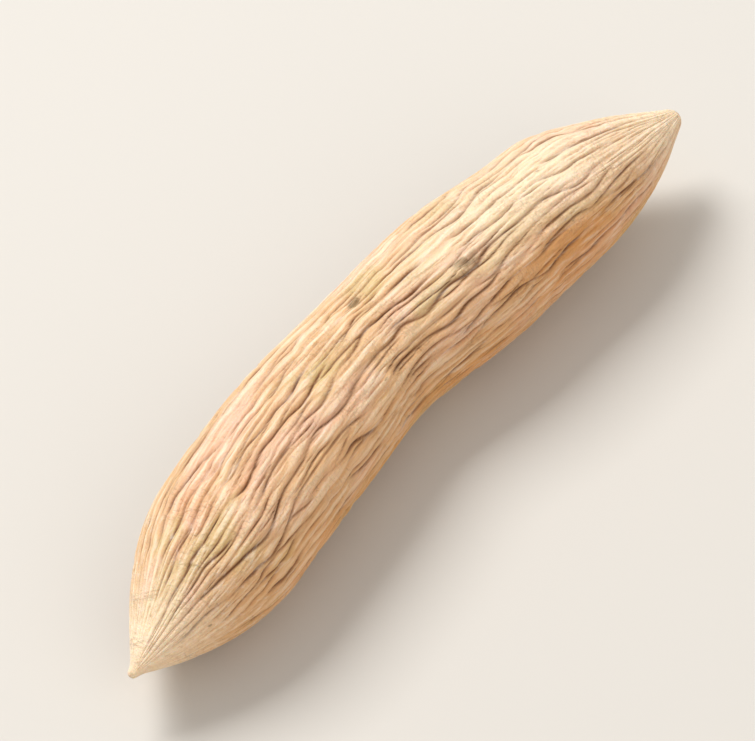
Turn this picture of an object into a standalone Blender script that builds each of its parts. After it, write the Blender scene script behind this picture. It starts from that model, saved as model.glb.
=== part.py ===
"""A dried ophiopogon root lying on its side: one spindle-shaped tuber with long wrinkles.

Metres, +Z up. The root lies along X, with its pointed end at -X and its blunter end at +X. It bows
towards +Y, and rests on a small flat spot at z = 0 below its middle. Both tips are rounded.
"""

import math

import bmesh
import bpy
from mathutils import Vector, noise

# Driving dimensions of the whole root
LENGTH = 0.034
HALF_WIDTH = 0.00314
HALF_HEIGHT = 0.00294
BOW = 0.00196
BOW_PEAK = 1.32
KINK = 0.00014
KINK_LENGTH = 0.08
POINTED_END_DROOP = 0.0003
DROOP_FROM = 0.35
BLUNT_END_LIFT = 0.0001
LIFT_FROM = 0.60

# The radius of each rounded tip, how many of them it fades over, and the share of the length over
# which the body swells from it
POINTED_TIP = 0.00018
BLUNT_TIP = 0.00034
TIP_FADE = 5
POINTED_TAPER = 0.23
POINTED_SHARPNESS = 1.10
BLUNT_TAPER = 0.235
BLUNT_SHARPNESS = 0.87

# The slim middle and the thinner blunt half, as shares of the length and of the radius
WAIST_AT = 0.515
WAIST_LENGTH = 0.09
WAIST_DEPTH = 0.078
THINNING_FROM = 0.66
THINNING_TO = 0.80
THINNING = 0.10

# The shoulder near the blunt end: its place along and round the root, its reach and its height
SHOULDER_AT = 0.82
SHOULDER_LENGTH = 0.050
SHOULDER_ANGLE = math.radians(48)
SHOULDER_SPREAD = math.radians(38)
SHOULDER_HEIGHT = 0.00028

# Broad lumps: count round the root, length along it, height and seed
LUMP_COUNT = 4
LUMP_LENGTH = 0.009
LUMP_HEIGHT = 0.00012
LUMP_SEED = 21.4

# Wrinkles left by drying, as (count round the root, depth, length that one fades over, seed)
DEEP_GROOVES = (25, 0.00016, 0.0028, 5.2)
FINE_GROOVES = (41, 0.00014, 0.0021, 11.3)
GROOVE_WIDTH = 0.32

# How far grooves wander and wobble sideways, as a phase in radians, over which length, and how many
# of them do it together
WANDER = 3.0
WANDER_LENGTH = 0.0052
WANDERING_TOGETHER = 3
WOBBLE = 1.15
WOBBLE_LENGTH = 0.0015
WOBBLING_TOGETHER = 2
WOBBLE_SEED = 9

# How grooves fade in and out: the share of the depth that is left, the noise below which they are
# faded and above which they are at full depth, and how many of them fade together
FADED_DEPTH = 0.26
FADED_BELOW = -0.35
FULL_ABOVE = 0.20
FADING_TOGETHER = 2
FADE_SEED = 5

# The slow sway of all the wrinkles together, their twist from end to end, and how fast the relief
# falls towards the ends
SWAY_COUNT = 2
SWAY_LENGTH = 0.011
SWAY_ANGLE = 0.16
SWAY_SEED = 0.0
TWIST = math.radians(24)
END_FALL = 0.7

# The worn spot that the root rests on: its depth, and how far it smooths the wrinkles round it
REST_DEPTH = 0.00018
REST_AT = 0.50
REST_REACH = 0.16
REST_SPREAD = math.radians(26)

# Mesh: a fine sphere is shaped first, then thinned to the triangles that the wrinkles need
FINE_AROUND = 216
FINE_ALONG = 150
TRIANGLES = 11400

SKIN_COLOUR = (0.72, 0.49, 0.28, 1.0)
SKIN_ROUGHNESS = 0.62


def smooth_step(low, high, value):
    """0 below low, 1 above high, and a smooth rise between them."""
    share = min(1.0, max(0.0, (value - low) / (high - low)))
    return share * share * (3 - 2 * share)


def bell(offset, reach):
    """1 at no offset, falling smoothly to nothing past twice the reach."""
    return math.exp(-((offset / reach) ** 2))


def taper(share):
    """Rises from 0 at an end of the body to 1 where its full width begins."""
    share = min(1.0, max(0.0, share))
    return 1 - (1 - share) ** 2


def waist(along):
    return WAIST_DEPTH * bell(along - WAIST_AT, WAIST_LENGTH)


def tip_share(from_end, radius):
    """Rounding of an end: a ball of that radius, which fades into the body behind it."""
    depth = from_end * LENGTH / radius
    return radius / HALF_WIDTH * math.sqrt(taper(depth)) * smooth_step(TIP_FADE, 1, depth)


def body_share(along):
    """Radius at a share of the length, as a share of the largest one."""
    pointed = taper(along / POINTED_TAPER) ** POINTED_SHARPNESS
    blunt = taper((1 - along) / BLUNT_TAPER) ** BLUNT_SHARPNESS
    thinning = THINNING * smooth_step(THINNING_FROM, THINNING_TO, along)
    swollen = pointed * blunt * (1 - waist(along) - thinning)
    return math.hypot(swollen, tip_share(along, POINTED_TIP), tip_share(1 - along, BLUNT_TIP))


def centre_line(along):
    """Centre of the root at a share of the length, with the chord along X and a level underside."""
    bow = BOW * max(0.0, math.sin(math.pi * along)) ** BOW_PEAK
    kink = KINK * bell(along - WAIST_AT, KINK_LENGTH)
    droop = POINTED_END_DROOP * smooth_step(DROOP_FROM, 0.0, along)
    lift = BLUNT_END_LIFT * smooth_step(LIFT_FROM, 1.0, along)
    level = lift - droop - HALF_HEIGHT * waist(along)
    return Vector(((along - 0.5) * LENGTH, bow + kink, level))


def section_axes(along):
    """Sideways and upward unit vectors of the section at a share of the length."""
    step = 0.01
    ahead = centre_line(min(1.0, along + step))
    behind = centre_line(max(0.0, along - step))
    forward = (ahead - behind).normalized()
    sideways = Vector((0, 0, 1)).cross(forward).normalized()
    return sideways, forward.cross(sideways)


def noise_at(angle, run, count, length, seed):
    """Noise that closes round the root: about count cells round it, each one length long."""
    reach = count / (2 * math.pi)
    return noise.noise(Vector((reach * math.cos(angle), reach * math.sin(angle), run / length + seed)))


def grooves(angle, run, count, depth, fade_length, seed):
    """Depth of count winding grooves round the root, each of which fades in and out along it."""
    wander = WANDER * noise_at(angle, run, count / WANDERING_TOGETHER, WANDER_LENGTH, seed)
    wobble = WOBBLE * noise_at(angle, run, count / WOBBLING_TOGETHER, WOBBLE_LENGTH, seed + WOBBLE_SEED)
    across = abs(math.sin(count * angle / 2 + wander + wobble))
    present = noise_at(angle, run, count / FADING_TOGETHER, fade_length, seed + FADE_SEED)
    kept = FADED_DEPTH + (1 - FADED_DEPTH) * smooth_step(FADED_BELOW, FULL_ABOVE, present)
    return depth * kept * math.exp(-across / GROOVE_WIDTH)


def patch(angle, along, centre_angle, centre_along, spread, reach):
    """1 at one place on the root, falling smoothly to nothing round it."""
    aside = math.remainder(angle - centre_angle, 2 * math.pi)
    return bell(aside, spread) * bell(along - centre_along, reach)


def relief(angle, along):
    """Height of the dried skin over the smooth body: it is worn smooth where the root rests."""
    run = along * LENGTH
    sway = SWAY_ANGLE * noise_at(angle, run, SWAY_COUNT, SWAY_LENGTH, SWAY_SEED)
    turned = angle + TWIST * along + sway
    wrinkles = max(grooves(turned, run, *DEEP_GROOVES), grooves(turned, run, *FINE_GROOVES))
    lump = LUMP_HEIGHT * noise_at(angle, run, LUMP_COUNT, LUMP_LENGTH, LUMP_SEED)
    shoulder = patch(angle, along, SHOULDER_ANGLE, SHOULDER_AT, SHOULDER_SPREAD, SHOULDER_LENGTH)
    worn = patch(angle, along, -math.pi / 2, REST_AT, REST_SPREAD, REST_REACH)
    return SHOULDER_HEIGHT * shoulder + (1 - worn) * (lump - wrinkles)


def skin_point(angle, along):
    """Point on the wrinkled skin at an angle round the root and a share of its length."""
    share = body_share(along)
    sideways, upward = section_axes(along)
    raised = relief(angle, along) * share**END_FALL
    across = (HALF_WIDTH * share + raised) * math.cos(angle)
    above = (HALF_HEIGHT * share + raised) * math.sin(angle)
    return centre_line(along) + sideways * across + upward * above


def place_along(polar):
    """Share of the length for a share of the way between the poles: rings are closer at the ends."""
    as_on_a_ball = (1 - math.cos(math.pi * polar)) / 2
    return (polar + as_on_a_ball) / 2


def shaped_sphere():
    """A sphere mesh whose poles become the two ends of the root."""
    mesh = bpy.data.meshes.new("root_tuber")
    shape = bmesh.new()
    bmesh.ops.create_uvsphere(shape, u_segments=FINE_AROUND, v_segments=FINE_ALONG, radius=1)
    for vertex in shape.verts:
        x, y, z = vertex.co
        polar = math.acos(max(-1.0, min(1.0, z))) / math.pi
        vertex.co = skin_point(math.atan2(y, x), place_along(polar))
    bmesh.ops.recalc_face_normals(shape, faces=shape.faces)
    shape.to_mesh(mesh)
    shape.free()
    return mesh


def move_to_rest(mesh):
    """Puts the box's middle over the origin, and the resting spot's height at z = 0."""
    points = [vertex.co for vertex in mesh.vertices]
    low = Vector(min(point[axis] for point in points) for axis in range(3))
    high = Vector(max(point[axis] for point in points) for axis in range(3))
    middle = (low + high) / 2
    offset = Vector((-middle.x, -middle.y, -(low.z + REST_DEPTH)))
    for vertex in mesh.vertices:
        vertex.co += offset


def skin_material():
    material = bpy.data.materials.new("dried_skin")
    material.use_nodes = True
    shader = material.node_tree.nodes["Principled BSDF"]
    shader.inputs["Base Color"].default_value = SKIN_COLOUR
    shader.inputs["Roughness"].default_value = SKIN_ROUGHNESS
    shader.inputs["Metallic"].default_value = 0.0
    return material


def new_collection(name):
    collection = bpy.data.collections.new(name)
    bpy.context.scene.collection.children.link(collection)
    return collection


def resting_cutter(collection):
    """A block whose top face is the surface that the root rests on."""
    shape = bmesh.new()
    bmesh.ops.create_cube(shape, size=1)
    mesh = bpy.data.meshes.new("resting_surface")
    shape.to_mesh(mesh)
    shape.free()
    cutter = bpy.data.objects.new("resting_surface", mesh)
    cutter.scale = (2 * LENGTH, LENGTH, LENGTH / 4)
    cutter.location = (0, 0, -LENGTH / 8)
    cutter.hide_render = True
    cutter.display_type = "WIRE"
    collection.objects.link(cutter)
    return cutter


def build_root():
    mesh = shaped_sphere()
    move_to_rest(mesh)
    mesh.materials.append(skin_material())
    mesh.shade_smooth()
    root = bpy.data.objects.new("root_tuber", mesh)
    new_collection("ophiopogon_root").objects.link(root)

    thinned = root.modifiers.new("thinned", "DECIMATE")
    thinned.ratio = TRIANGLES / (2 * FINE_AROUND * (FINE_ALONG - 1))
    rest = root.modifiers.new("resting_spot", "BOOLEAN")
    rest.operation = "DIFFERENCE"
    rest.object = resting_cutter(new_collection("cutters"))


for old in list(bpy.data.objects):
    bpy.data.objects.remove(old)
build_root()
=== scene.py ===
"""Looks of one dried ophiopogon root: its wrinkled skin, a pale floor, soft light and the camera.

The skin follows the same body and grooves as the solid, and adds the finer wrinkles, creases and pits.
Metres, +Z up. Angles round the root start at its +Y side and pass over its top.
"""

import math

import bpy
from mathutils import Matrix, Vector, noise


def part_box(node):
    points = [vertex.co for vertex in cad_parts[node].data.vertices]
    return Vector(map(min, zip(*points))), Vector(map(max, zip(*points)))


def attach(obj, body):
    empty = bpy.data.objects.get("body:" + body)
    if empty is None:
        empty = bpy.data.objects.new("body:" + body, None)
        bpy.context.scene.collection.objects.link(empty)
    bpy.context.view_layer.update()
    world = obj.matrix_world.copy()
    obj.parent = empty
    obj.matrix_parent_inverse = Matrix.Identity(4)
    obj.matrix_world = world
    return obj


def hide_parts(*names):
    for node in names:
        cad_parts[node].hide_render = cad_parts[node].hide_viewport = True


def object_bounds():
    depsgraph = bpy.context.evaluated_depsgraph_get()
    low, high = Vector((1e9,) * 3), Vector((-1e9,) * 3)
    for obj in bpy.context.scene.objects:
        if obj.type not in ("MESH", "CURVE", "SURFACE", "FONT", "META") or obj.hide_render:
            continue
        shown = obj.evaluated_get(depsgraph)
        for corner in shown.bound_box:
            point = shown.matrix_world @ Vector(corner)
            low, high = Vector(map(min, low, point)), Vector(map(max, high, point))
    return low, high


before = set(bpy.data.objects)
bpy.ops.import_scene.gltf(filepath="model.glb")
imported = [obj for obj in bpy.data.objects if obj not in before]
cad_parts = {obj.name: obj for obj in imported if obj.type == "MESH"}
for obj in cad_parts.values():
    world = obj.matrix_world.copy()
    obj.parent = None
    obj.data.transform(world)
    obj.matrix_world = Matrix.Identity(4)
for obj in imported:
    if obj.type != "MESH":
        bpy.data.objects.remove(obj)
cad_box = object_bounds()

# Driving dimensions of the whole root, as in the solid
LENGTH = 0.034
HALF_WIDTH = 0.00314
HALF_HEIGHT = 0.00294
BOW = 0.00196
BOW_PEAK = 1.32
KINK = 0.00014
KINK_LENGTH = 0.08
POINTED_END_DROOP = 0.0003
DROOP_FROM = 0.35
BLUNT_END_LIFT = 0.0001
LIFT_FROM = 0.60

# The radius of each rounded tip, how many of them it fades over, the share of the length over which
# the body swells from it, and the power that makes this taper sharper or fuller
POINTED_TIP = 0.00018
BLUNT_TIP = 0.00034
TIP_FADE = 5
POINTED_TAPER = 0.23
POINTED_SHARPNESS = 1.10
BLUNT_TAPER = 0.235
BLUNT_SHARPNESS = 0.87

# The slim middle and the thinner blunt half, as shares of the length and of the radius
WAIST_AT = 0.515
WAIST_LENGTH = 0.09
WAIST_DEPTH = 0.078
THINNING_FROM = 0.66
THINNING_TO = 0.80
THINNING = 0.10

# The shoulder near the blunt end, and broad lumps
SHOULDER_AT = 0.82
SHOULDER_LENGTH = 0.050
SHOULDER_ANGLE = math.radians(48)
SHOULDER_SPREAD = math.radians(38)
SHOULDER_HEIGHT = 0.00028
LUMP_COUNT = 4
LUMP_LENGTH = 0.009
LUMP_HEIGHT = 0.00012
LUMP_SEED = 21.4

# The slow sway of all the wrinkles together, their twist from end to end, and how fast the relief
# falls towards the ends
SWAY_COUNT = 2
SWAY_LENGTH = 0.011
SWAY_ANGLE = 0.16
SWAY_SEED = 0.0
TWIST = math.radians(24)
END_FALL = 0.7

# The worn spot that the root rests on
REST_DEPTH = 0.00018
REST_AT = 0.50
REST_REACH = 0.16
REST_SPREAD = math.radians(26)

# Grooves as (count round the root, depth, length that one fades over, seed): the wrinkles, which are
# the solid's two kinds, and two finer kinds
WRINKLE_DEPTH = 0.00016
DEEP_GROOVES = (25, WRINKLE_DEPTH, 0.0028, 5.2)
FINE_GROOVES = (41, 0.00014, 0.0021, 11.3)
HAIR_DEPTH = 0.000060
HAIR_GROOVES = (71, HAIR_DEPTH, 0.0024, 29.1)
THREAD_GROOVES = (139, 0.000024, 0.0016, 47.9)
GROOVE_WIDTH = 0.32

# How far grooves wander and wobble sideways, as a phase in radians, over which length, and how many
# of them do it together
WANDER = 3.0
WANDER_LENGTH = 0.0052
WANDERING_TOGETHER = 3
WOBBLE = 1.15
WOBBLE_LENGTH = 0.0015
WOBBLING_TOGETHER = 2
WOBBLE_SEED = 9

# How grooves fade in and out: the share of the depth that is left, the noise below which they are
# faded and above which they are at full depth, and how many of them fade together
FADED_DEPTH = 0.26
FADED_BELOW = -0.35
FULL_ABOVE = 0.20
FADING_TOGETHER = 2
FADE_SEED = 5

# Creases across the root, and pits: each kind starts where its noise passes the first value, and is
# at its full depth past the second
CREASE_COUNT = 16
CREASE_LENGTH = 0.00065
CREASE_DEPTH = 0.000045
CREASE_NOISE = (0.15, 0.55)
CREASE_SEED = 61.3
PIT_COUNT = 46
PIT_LENGTH = 0.0011
PIT_DEPTH = 0.000035
PIT_NOISE = (0.2, 0.5)
PIT_SEED = 83.2

# Places on the skin, as (angle round the root, share of the length, spread in angle, reach as a
# share of the length): an ochre stain on one side of the blunt half, painted warm shade, a little
# weaker, along that whole side, painted light on top of the blunt half, and two small scars
STAIN = (math.radians(152), 0.77, math.radians(28), 0.15)
PAINTED_SIDE_SHADE = (math.radians(188), 0.55, math.radians(46), 0.55)
PAINTED_SIDE_SHADE_SHARE = 0.90
PAINTED_TOP_LIGHT = (math.radians(92), 0.77, math.radians(40), 0.15)
PAINTED_TOP_LIGHT_SHARE = 0.85
SCARS = [
    (math.radians(109), 0.640, math.radians(6.5), 0.014),
    (math.radians(70), 0.520, math.radians(4), 0.008),
]

# The scars' depth, and the noise that makes their edges ragged
SCAR_DEPTH = 0.00006
SCAR_RAGGEDNESS = 1.5
SCAR_COUNT = 60
SCAR_LENGTH = 0.0004
SCAR_SEED = 37.5

# Mesh of the skin: vertices round the root, and steps from end to end
AROUND = 420
ALONG = 236

# Patchy textures, as (size, detail of the noise, noise where the change starts and ends, value
# before and after it). A value is the share of a colour or of a bump, and in the gloss a roughness.
PINK_PATCHES = (0.0022, 2, 0.46, 0.66, 0.0, 1.0)
OCHRE_PATCHES = (0.0041, 3, 0.55, 0.75, 0.0, 0.6)
OLIVE_PATCHES = (0.0017, 2, 0.54, 0.68, 0.0, 0.7)
# These patches break up the stain and the painted shade along one side
STAIN_AND_SHADE_PATCHES = (0.0014, 3, 0.34, 0.56, 0.35, 0.90)
# The painted shade in the grooves is weaker in these patches
GROOVE_SHADE_PATCHES = (0.0008, 2, 0.36, 0.58, 0.45, 1.0)
FLECKS = (0.00030, 1, 0.76, 0.82, 0.0, 0.6)
GLOSS_PATCHES = (0.0006, 2, 0.3, 0.7, 0.50, 0.66)
CREPE_PATCHES = (0.0016, 1, 0.40, 0.62, 0.0, 1.0)

# How a colour's share follows an attribute of the skin or its fibres, as (value where the change
# starts and ends, share before and after it)
# Painted highlights in cream on the crests between wrinkles and between the finest grooves
HIGHLIGHT_ON_WRINKLE_CRESTS = (0.0, 0.12, 0.72, 0.0)
HIGHLIGHT_ON_HAIR_CRESTS = (0.1, 0.8, 1.0, 0.0)
# Painted shade in the finest grooves and in the wrinkles, and how much of it is left under the painted light
# on top
SHADE_IN_HAIRS = (0.45, 1.2, 0.0, 0.60)
SHADE_IN_GROOVES = (0.18, 0.75, 0.0, 0.95)
DEEPEST_SHADE_IN_GROOVES = (0.60, 0.95, 0.0, 0.75)
GROOVE_SHADE_UNDER_TOP_LIGHT = (0.2, 0.9, 1.0, 0.55)
# Cream on the real pale ends, less so under the stain and the painted side shade
PALE_ENDS = (0.72, 0.96, 0.0, 0.80)
STAIN_AND_SHADE_ON_ENDS = (0.1, 0.7, 1.0, 0.3)
SCAR_SHARE = (0.10, 0.75, 0.0, 0.9)
SCAR_FIBRES = (0.35, 0.58, 0.45, 1.0)
LIGHT_FIBRES = (0.50, 0.75, 0.0, 0.30)
DARK_FIBRES = (0.48, 0.25, 0.0, 0.35)

# Fine textures as (size, detail, roughness of the noise), and the height of each as a bump
FIBRES = (0.00016, 3, 0.6)
FIBRE_HEIGHT = 0.00003
CREPE = (0.00042, 2, 0.5)
CREPE_HEIGHT = 0.00014
GRAIN = (0.00010, 3, 0.6)
GRAIN_HEIGHT = 0.00005

# Scale of distances along the root in a texture: under 1 stretches it that way, over 1 shortens it
PATCH_STRETCH = 0.35
FIBRE_STRETCH = 0.06
CREPE_STRETCH = 2.6

# Lights, as (azimuth, elevation, distance, size, power in watts, tint): the key from the picture's
# upper left, and a weaker one from its right. Then the room and the floor
KEY_LIGHT = (math.radians(172), math.radians(50), 0.40, 0.20, 1.54, (1.0, 0.99, 0.98))
FILL_LIGHT = (math.radians(-10), math.radians(40), 0.60, 0.50, 0.90, (1.0, 0.83, 0.67))
ROOM_TINT = (1.0, 0.99, 0.98, 1.0)
ROOM_STRENGTH = 0.54
FLOOR_REACH = 3.0

# Camera: the photograph's direction and distance, and the width that the picture shows
VIEW_AZIMUTH = math.radians(-52.5)
VIEW_ELEVATION = math.radians(51)
VIEW_DISTANCE = 0.54
VIEW_WIDTH = 0.0285


def smooth_step(low, high, value):
    """0 up to low, 1 past high, and a smooth rise between them. It falls where low is the larger."""
    share = min(1.0, max(0.0, (value - low) / (high - low)))
    return share * share * (3 - 2 * share)


def bell(offset, reach):
    """1 at no offset, falling smoothly to nothing past twice the reach."""
    return math.exp(-((offset / reach) ** 2))


def taper(share):
    """Rises from 0 at an end of the body to 1 where its full width begins."""
    share = min(1.0, max(0.0, share))
    return 1 - (1 - share) ** 2


def waist(along):
    return WAIST_DEPTH * bell(along - WAIST_AT, WAIST_LENGTH)


def tip_share(from_end, radius):
    """Rounding of an end: a ball of that radius, which fades into the body behind it."""
    depth = from_end * LENGTH / radius
    return radius / HALF_WIDTH * math.sqrt(taper(depth)) * smooth_step(TIP_FADE, 1, depth)


def body_share(along):
    """Radius at a share of the length, as a share of the largest one."""
    pointed = taper(along / POINTED_TAPER) ** POINTED_SHARPNESS
    blunt = taper((1 - along) / BLUNT_TAPER) ** BLUNT_SHARPNESS
    thinning = THINNING * smooth_step(THINNING_FROM, THINNING_TO, along)
    swollen = pointed * blunt * (1 - waist(along) - thinning)
    return math.hypot(swollen, tip_share(along, POINTED_TIP), tip_share(1 - along, BLUNT_TIP))


def centre_line(along):
    """Centre of the root at a share of the length, with the chord along X and a level underside."""
    bow = BOW * max(0.0, math.sin(math.pi * along)) ** BOW_PEAK
    kink = KINK * bell(along - WAIST_AT, KINK_LENGTH)
    droop = POINTED_END_DROOP * smooth_step(DROOP_FROM, 0.0, along)
    lift = BLUNT_END_LIFT * smooth_step(LIFT_FROM, 1.0, along)
    level = lift - droop - HALF_HEIGHT * waist(along)
    return Vector(((along - 0.5) * LENGTH, bow + kink, level))


def section_axes(along):
    """Sideways and upward unit vectors of the section at a share of the length."""
    step = 0.01
    ahead = centre_line(min(1.0, along + step))
    behind = centre_line(max(0.0, along - step))
    forward = (ahead - behind).normalized()
    sideways = Vector((0, 0, 1)).cross(forward).normalized()
    return sideways, forward.cross(sideways)


def noise_at(angle, run, count, length, seed):
    """Noise that closes round the root: about count cells round it, each one length long."""
    reach = count / (2 * math.pi)
    return noise.noise(Vector((reach * math.cos(angle), reach * math.sin(angle), run / length + seed)))


def grooves(angle, run, count, depth, fade_length, seed):
    """Depth of count winding grooves round the root, each of which fades in and out along it."""
    wander = WANDER * noise_at(angle, run, count / WANDERING_TOGETHER, WANDER_LENGTH, seed)
    wobble = WOBBLE * noise_at(angle, run, count / WOBBLING_TOGETHER, WOBBLE_LENGTH, seed + WOBBLE_SEED)
    across = abs(math.sin(count * angle / 2 + wander + wobble))
    present = noise_at(angle, run, count / FADING_TOGETHER, fade_length, seed + FADE_SEED)
    kept = FADED_DEPTH + (1 - FADED_DEPTH) * smooth_step(FADED_BELOW, FULL_ABOVE, present)
    return depth * kept * math.exp(-across / GROOVE_WIDTH)


def small_marks(angle, run):
    """Depth of the creases across the root and of the pits."""
    crossing = noise_at(angle, run, CREASE_COUNT, CREASE_LENGTH, CREASE_SEED)
    pitting = noise_at(angle, run, PIT_COUNT, PIT_LENGTH, PIT_SEED)
    return CREASE_DEPTH * smooth_step(*CREASE_NOISE, crossing) + PIT_DEPTH * smooth_step(*PIT_NOISE, pitting)


def patch(angle, along, centre_angle, centre_along, spread, reach):
    """1 at one place on the root, falling smoothly to nothing round it."""
    aside = math.remainder(angle - centre_angle, 2 * math.pi)
    return bell(aside, spread) * bell(along - centre_along, reach)


def scars(angle, along):
    """About 1 at each small scar, with a ragged edge, and 0 elsewhere."""
    ragged = 1 + SCAR_RAGGEDNESS * noise_at(angle, along * LENGTH, SCAR_COUNT, SCAR_LENGTH, SCAR_SEED)
    return ragged * sum(patch(angle, along, *scar) for scar in SCARS)


def stain_and_side_shade(angle, along):
    """1 at the middle of the ochre stain, less along the side with painted warm shade, and 0 elsewhere."""
    side_shade = PAINTED_SIDE_SHADE_SHARE * patch(angle, along, *PAINTED_SIDE_SHADE)
    return max(side_shade, patch(angle, along, *STAIN))


def relief(angle, along):
    """(height of the skin over the smooth body, depth of its wrinkles, depth of its finest grooves)."""
    run = along * LENGTH
    sway = SWAY_ANGLE * noise_at(angle, run, SWAY_COUNT, SWAY_LENGTH, SWAY_SEED)
    turned = angle + TWIST * along + sway
    wrinkles = max(grooves(turned, run, *DEEP_GROOVES), grooves(turned, run, *FINE_GROOVES))
    hairs = grooves(turned, run, *HAIR_GROOVES) + grooves(turned, run, *THREAD_GROOVES)
    lump = LUMP_HEIGHT * noise_at(angle, run, LUMP_COUNT, LUMP_LENGTH, LUMP_SEED)
    shoulder = patch(angle, along, SHOULDER_ANGLE, SHOULDER_AT, SHOULDER_SPREAD, SHOULDER_LENGTH)
    worn = patch(angle, along, -math.pi / 2, REST_AT, REST_SPREAD, REST_REACH)
    dents = wrinkles + hairs + small_marks(angle, run)
    height = SHOULDER_HEIGHT * shoulder - SCAR_DEPTH * scars(angle, along) + (1 - worn) * (lump - dents)
    return height, wrinkles, hairs


def skin_point(angle, along):
    """A point on the skin, its place on the root if it were straight, and its two depths of wrinkle."""
    share = body_share(along)
    sideways, upward = section_axes(along)
    height, wrinkles, hairs = relief(angle, along)
    raised = height * share**END_FALL
    across = (HALF_WIDTH * share + raised) * math.cos(angle)
    above = (HALF_HEIGHT * share + raised) * math.sin(angle)
    point = centre_line(along) + sideways * across + upward * above
    radius = HALF_WIDTH * share
    straight = Vector((radius * math.cos(angle), radius * math.sin(angle), along * LENGTH))
    return point, straight, wrinkles, hairs


def place_along(polar):
    """Share of the length for a share of the way between the ends: rings are closer at the ends."""
    as_on_a_ball = (1 - math.cos(math.pi * polar)) / 2
    return (polar + as_on_a_ball) / 2


def skin_places():
    """(angle, share of the length) of each vertex: one end, the rings, and the other end."""
    places = [(0.0, 0.0)]
    for ring in range(1, ALONG):
        for step in range(AROUND):
            places.append((2 * math.pi * step / AROUND, place_along(ring / ALONG)))
    places.append((0.0, 1.0))
    return places


def skin_faces():
    """Faces between rings of vertices, with a single vertex at each end of the root."""
    last = 1 + (ALONG - 1) * AROUND
    faces = []
    for step in range(AROUND):
        after = (step + 1) % AROUND
        faces.append((0, 1 + after, 1 + step))
        for ring in range(ALONG - 2):
            near = 1 + ring * AROUND
            far = near + AROUND
            faces.append((near + step, near + after, far + after, far + step))
        faces.append((last, last - AROUND + step, last - AROUND + after))
    return faces


def move_to_rest(points):
    """Moves the points to the solid's place, and flattens them where the root rests on z = 0."""
    cad_low, cad_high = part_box("root_tuber")
    low = Vector(min(point[axis] for point in points) for axis in range(3))
    high = Vector(max(point[axis] for point in points) for axis in range(3))
    offset = (cad_low + cad_high) / 2 - (low + high) / 2
    offset.z = -(low.z + REST_DEPTH)
    for point in points:
        point += offset
        point.z = max(0.0, point.z)


def add_attribute(mesh, name, values):
    """A number for each vertex, which the material reads by its name."""
    mesh.attributes.new(name, "FLOAT", "POINT").data.foreach_set("value", values)


def skin_mesh():
    """The skin as a mesh in the frame, with the attributes that its material reads."""
    places = skin_places()
    points, straight, wrinkles, hairs = zip(*(skin_point(angle, along) for angle, along in places))
    move_to_rest(points)

    mesh = bpy.data.meshes.new("tuber_skin")
    mesh.from_pydata(points, [], skin_faces())
    straight_places = mesh.attributes.new("straight", "FLOAT_VECTOR", "POINT")
    straight_places.data.foreach_set("vector", [value for place in straight for value in place])
    add_attribute(mesh, "wrinkle", [depth / WRINKLE_DEPTH for depth in wrinkles])
    add_attribute(mesh, "hair", [depth / HAIR_DEPTH for depth in hairs])
    add_attribute(mesh, "end", [abs(2 * along - 1) for angle, along in places])
    # Share of the real stain, and of painted warm shade along one side
    add_attribute(mesh, "stain_and_shade", [stain_and_side_shade(angle, along) for angle, along in places])
    # Where light is painted on top of the blunt half
    add_attribute(mesh, "pale", [patch(angle, along, *PAINTED_TOP_LIGHT) for angle, along in places])
    add_attribute(mesh, "scar", [scars(angle, along) for angle, along in places])
    mesh.shade_smooth()
    return mesh


def colour(red, green, blue):
    """A linear colour from 0 to 255 display values."""
    shares = [value / 255 for value in (red, green, blue)]
    return [share / 12.92 if share < 0.04045 else ((share + 0.055) / 1.055) ** 2.4 for share in shares] + [1]


TAN = colour(222, 180, 134)
PINK = colour(230, 186, 155)
# Ochre, for real patches and the stain, and for painted warm shade along one side
OCHRE = colour(214, 147, 72)
OLIVE = colour(208, 182, 122)
# Cream, for the real pale ends and for painted light and highlights
CREAM = colour(250, 228, 195)
# Browns for painted shade in the grooves
GROOVE_SHADE = colour(142, 90, 42)
DEEPEST_GROOVE_SHADE = colour(98, 58, 24)
HAIR_GROOVE_SHADE = colour(176, 118, 62)
SCAR_GREEN = colour(114, 90, 44)
FLECK = colour(120, 90, 54)
LIGHT_FIBRE = colour(255, 246, 232)
DARK_FIBRE = colour(170, 120, 76)
FLOOR_GREY = colour(209, 206, 200)


def give(tree, socket, value):
    """Sets a socket to a number or colour, or links it to another node's output."""
    if isinstance(value, bpy.types.NodeSocket):
        tree.links.new(value, socket)
    else:
        socket.default_value = value


def attribute(tree, name, output="Fac"):
    node = tree.nodes.new("ShaderNodeAttribute")
    node.attribute_name = name
    return node.outputs[output]


def stretched(tree, place, along):
    """The place with distances along the root scaled, so that textures on it stretch that way."""
    node = tree.nodes.new("ShaderNodeMapping")
    tree.links.new(place, node.inputs["Vector"])
    node.inputs["Scale"].default_value = (1, 1, along)
    return node.outputs["Vector"]


def grain(tree, place, size, detail, roughness=0.5):
    """Noise from 0 to 1 whose features are about one size across."""
    node = tree.nodes.new("ShaderNodeTexNoise")
    tree.links.new(place, node.inputs["Vector"])
    node.inputs["Scale"].default_value = 1 / size
    node.inputs["Detail"].default_value = detail
    node.inputs["Roughness"].default_value = roughness
    return node.outputs["Fac"]


def ramp(tree, value, low, high, start, end):
    """A smooth change from start to end as the value goes from low to high."""
    node = tree.nodes.new("ShaderNodeMapRange")
    node.interpolation_type = "SMOOTHSTEP"
    tree.links.new(value, node.inputs["Value"])
    node.inputs["From Min"].default_value = low
    node.inputs["From Max"].default_value = high
    node.inputs["To Min"].default_value = start
    node.inputs["To Max"].default_value = end
    return node.outputs["Result"]


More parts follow.
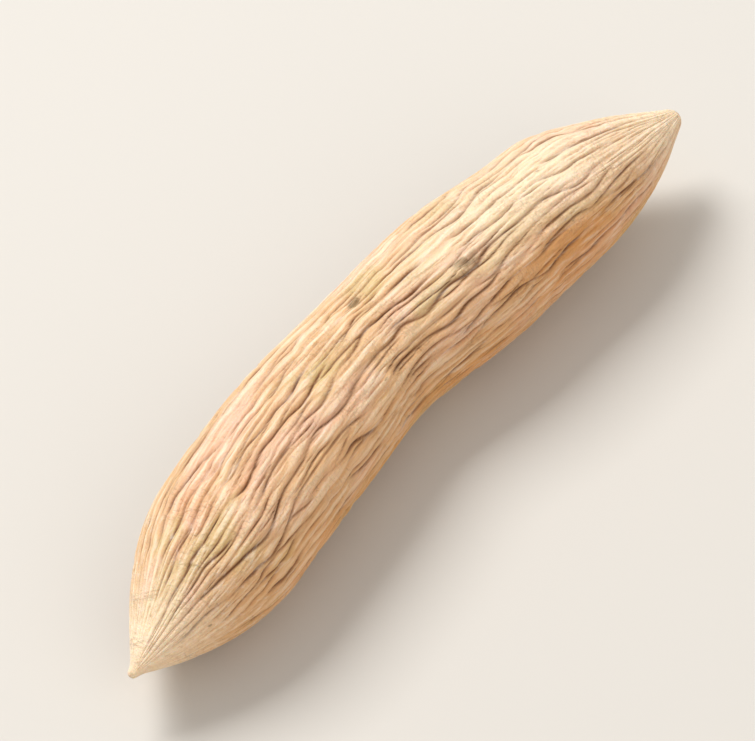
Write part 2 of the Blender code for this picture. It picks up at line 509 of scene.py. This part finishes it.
def patches(tree, place, size, detail, low, high, start, end):
    """A value that changes smoothly between start and end in patches of about one size."""
    return ramp(tree, grain(tree, place, size, detail), low, high, start, end)


def times(tree, first, second):
    node = tree.nodes.new("ShaderNodeMath")
    node.operation = "MULTIPLY"
    give(tree, node.inputs[0], first)
    give(tree, node.inputs[1], second)
    return node.outputs["Value"]


def painted(tree, under, over, share):
    """One colour laid over another in a share that may vary."""
    node = tree.nodes.new("ShaderNodeMix")
    node.data_type = "RGBA"
    give(tree, node.inputs["Factor"], share)
    give(tree, node.inputs["A"], under)
    give(tree, node.inputs["B"], over)
    return node.outputs["Result"]


def bumped(tree, height, distance, under=None):
    """A normal for bumps of that height, over another normal if there is one."""
    node = tree.nodes.new("ShaderNodeBump")
    node.inputs["Distance"].default_value = distance
    tree.links.new(height, node.inputs["Height"])
    if under is not None:
        tree.links.new(under, node.inputs["Normal"])
    return node.outputs["Normal"]


def patchy_tan(tree, place):
    """Tan skin with pink, ochre and olive patches."""
    skin = painted(tree, TAN, PINK, patches(tree, place, *PINK_PATCHES))
    skin = painted(tree, skin, OCHRE, patches(tree, place, *OCHRE_PATCHES))
    return painted(tree, skin, OLIVE, patches(tree, place, *OLIVE_PATCHES))


def painted_light_stain_and_shade(tree, skin, place):
    """Cream as painted light on top and painted highlights on crests, ochre as stain and painted side shade.
    """
    # Painted light in cream on top of the blunt half
    skin = painted(tree, skin, CREAM, times(tree, attribute(tree, "pale"), PAINTED_TOP_LIGHT_SHARE))
    # Painted highlights on the crests between grooves
    wrinkle_crest_highlight = ramp(tree, attribute(tree, "wrinkle"), *HIGHLIGHT_ON_WRINKLE_CRESTS)
    hair_crest_highlight = ramp(tree, attribute(tree, "hair"), *HIGHLIGHT_ON_HAIR_CRESTS)
    skin = painted(tree, skin, CREAM, times(tree, wrinkle_crest_highlight, hair_crest_highlight))
    # Ochre for the real stain and for painted warm shade along one side
    stain_and_shade_share = times(tree, attribute(tree, "stain_and_shade"), patches(tree, place, *STAIN_AND_SHADE_PATCHES))
    return painted(tree, skin, OCHRE, stain_and_shade_share)


def painted_groove_shade(tree, skin, place):
    """Painted shade in the grooves, in browns, weaker in patches and under the painted light on top."""
    # Painted shade in the finest grooves, then in the wrinkles
    skin = painted(tree, skin, HAIR_GROOVE_SHADE, ramp(tree, attribute(tree, "hair"), *SHADE_IN_HAIRS))
    wrinkle = attribute(tree, "wrinkle")
    # Less painted groove shade under the painted light on top
    under_top_light = ramp(tree, attribute(tree, "pale"), *GROOVE_SHADE_UNDER_TOP_LIGHT)
    groove_shade_share = times(tree, patches(tree, place, *GROOVE_SHADE_PATCHES), under_top_light)
    skin = painted(tree, skin, GROOVE_SHADE, times(tree, ramp(tree, wrinkle, *SHADE_IN_GROOVES), groove_shade_share))
    return painted(tree, skin, DEEPEST_GROOVE_SHADE, times(tree, ramp(tree, wrinkle, *DEEPEST_SHADE_IN_GROOVES), groove_shade_share))


def ends_and_scars(tree, skin, fibres):
    """Cream ends, less so under the stain and the painted side shade, and olive scars with fibres across
    them.
    """
    end = ramp(tree, attribute(tree, "end"), *PALE_ENDS)
    # Less cream under the stain and the painted side shade
    away_from_stain_and_shade = ramp(tree, attribute(tree, "stain_and_shade"), *STAIN_AND_SHADE_ON_ENDS)
    skin = painted(tree, skin, CREAM, times(tree, end, away_from_stain_and_shade))
    scar = ramp(tree, attribute(tree, "scar"), *SCAR_SHARE)
    return painted(tree, skin, SCAR_GREEN, times(tree, scar, ramp(tree, fibres, *SCAR_FIBRES)))


def skin_colour(tree, place, fibres):
    """The skin's colours and its painted light and shade, laid one over another from the widest patches to
    the finest fibres.
    """
    long_place = stretched(tree, place, PATCH_STRETCH)
    skin = patchy_tan(tree, long_place)
    skin = painted_light_stain_and_shade(tree, skin, long_place)
    skin = painted_groove_shade(tree, skin, long_place)
    skin = ends_and_scars(tree, skin, fibres)
    skin = painted(tree, skin, LIGHT_FIBRE, ramp(tree, fibres, *LIGHT_FIBRES))
    skin = painted(tree, skin, DARK_FIBRE, ramp(tree, fibres, *DARK_FIBRES))
    return painted(tree, skin, FLECK, patches(tree, long_place, *FLECKS))


def skin_normal(tree, place, fibres):
    """Fibres, patches of fine crepe across the root, and a fine grain all over."""
    normal = bumped(tree, fibres, FIBRE_HEIGHT)
    crepe = grain(tree, stretched(tree, place, CREPE_STRETCH), *CREPE)
    in_patches = times(tree, crepe, patches(tree, place, *CREPE_PATCHES))
    normal = bumped(tree, in_patches, CREPE_HEIGHT, normal)
    return bumped(tree, grain(tree, place, *GRAIN), GRAIN_HEIGHT, normal)


def skin_material():
    """Dry, slightly waxy skin, with a little light passing under it and a faint bloom."""
    material = bpy.data.materials.new("dried_skin_finish")
    material.use_nodes = True
    tree = material.node_tree
    shader = tree.nodes["Principled BSDF"]
    place = attribute(tree, "straight", "Vector")
    fibres = grain(tree, stretched(tree, place, FIBRE_STRETCH), *FIBRES)
    tree.links.new(skin_colour(tree, place, fibres), shader.inputs["Base Color"])
    tree.links.new(patches(tree, place, *GLOSS_PATCHES), shader.inputs["Roughness"])
    tree.links.new(skin_normal(tree, place, fibres), shader.inputs["Normal"])
    shader.inputs["Subsurface Weight"].default_value = 0.25
    shader.inputs["Subsurface Radius"].default_value = (1.0, 0.55, 0.28)
    shader.inputs["Subsurface Scale"].default_value = 0.0007
    shader.inputs["Specular IOR Level"].default_value = 0.55
    shader.inputs["Sheen Weight"].default_value = 0.12
    shader.inputs["Sheen Roughness"].default_value = 0.45
    shader.inputs["Sheen Tint"].default_value = (1.0, 0.94, 0.88, 1.0)
    return material


def build_skin():
    skin = bpy.data.objects.new("tuber_skin", skin_mesh())
    bpy.context.scene.collection.objects.link(skin)
    skin.data.materials.append(skin_material())
    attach(skin, "root")
    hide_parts("root_tuber")


def direction(azimuth, elevation):
    """Unit vector from the root towards a place seen at an azimuth and an elevation."""
    level = math.cos(elevation)
    return Vector((math.sin(azimuth) * level, -math.cos(azimuth) * level, math.sin(elevation)))


def build_floor():
    """A pale, matt floor."""
    reach = FLOOR_REACH
    corners = [(-reach, -reach, 0), (reach, -reach, 0), (reach, reach, 0), (-reach, reach, 0)]
    mesh = bpy.data.meshes.new("floor")
    mesh.from_pydata(corners, [], [(0, 1, 2, 3)])
    floor = bpy.data.objects.new("floor", mesh)
    bpy.context.scene.collection.objects.link(floor)
    material = bpy.data.materials.new("pale_floor")
    material.use_nodes = True
    shader = material.node_tree.nodes["Principled BSDF"]
    shader.inputs["Base Color"].default_value = FLOOR_GREY
    shader.inputs["Roughness"].default_value = 0.85
    mesh.materials.append(material)


def build_light(name, azimuth, elevation, distance, size, power, tint):
    """A soft square light that faces the root."""
    light = bpy.data.lights.new(name, "AREA")
    light.size = size
    light.energy = power
    light.color = tint
    lamp = bpy.data.objects.new(name, light)
    towards = direction(azimuth, elevation)
    lamp.location = towards * distance
    lamp.rotation_euler = towards.to_track_quat("Z", "Y").to_euler()
    bpy.context.scene.collection.objects.link(lamp)


def build_room():
    """Even light from all round."""
    world = bpy.data.worlds.new("room")
    world.use_nodes = True
    backdrop = world.node_tree.nodes["Background"]
    backdrop.inputs["Color"].default_value = ROOM_TINT
    backdrop.inputs["Strength"].default_value = ROOM_STRENGTH
    bpy.context.scene.world = world


def build_camera():
    """The photograph's view of the root, from as far away, through a longer lens."""
    camera = bpy.data.cameras.new("camera")
    camera.sensor_width = 36
    camera.lens = camera.sensor_width * VIEW_DISTANCE / VIEW_WIDTH
    camera.clip_start = VIEW_DISTANCE / 50
    camera.clip_end = VIEW_DISTANCE * 20
    eye = bpy.data.objects.new("camera", camera)
    back = direction(VIEW_AZIMUTH, VIEW_ELEVATION)
    low, high = cad_box
    right = Vector((math.cos(VIEW_AZIMUTH), math.sin(VIEW_AZIMUTH), 0))
    turned = Matrix((right, back.cross(right), back)).transposed().to_4x4()
    eye.matrix_world = Matrix.Translation((low + high) / 2 + back * VIEW_DISTANCE) @ turned
    bpy.context.scene.collection.objects.link(eye)
    bpy.context.scene.camera = eye


build_camera()
build_skin()
build_floor()
build_light("key", *KEY_LIGHT)
build_light("fill", *FILL_LIGHT)
build_room()
bpy.context.scene.view_settings.view_transform = "Standard"
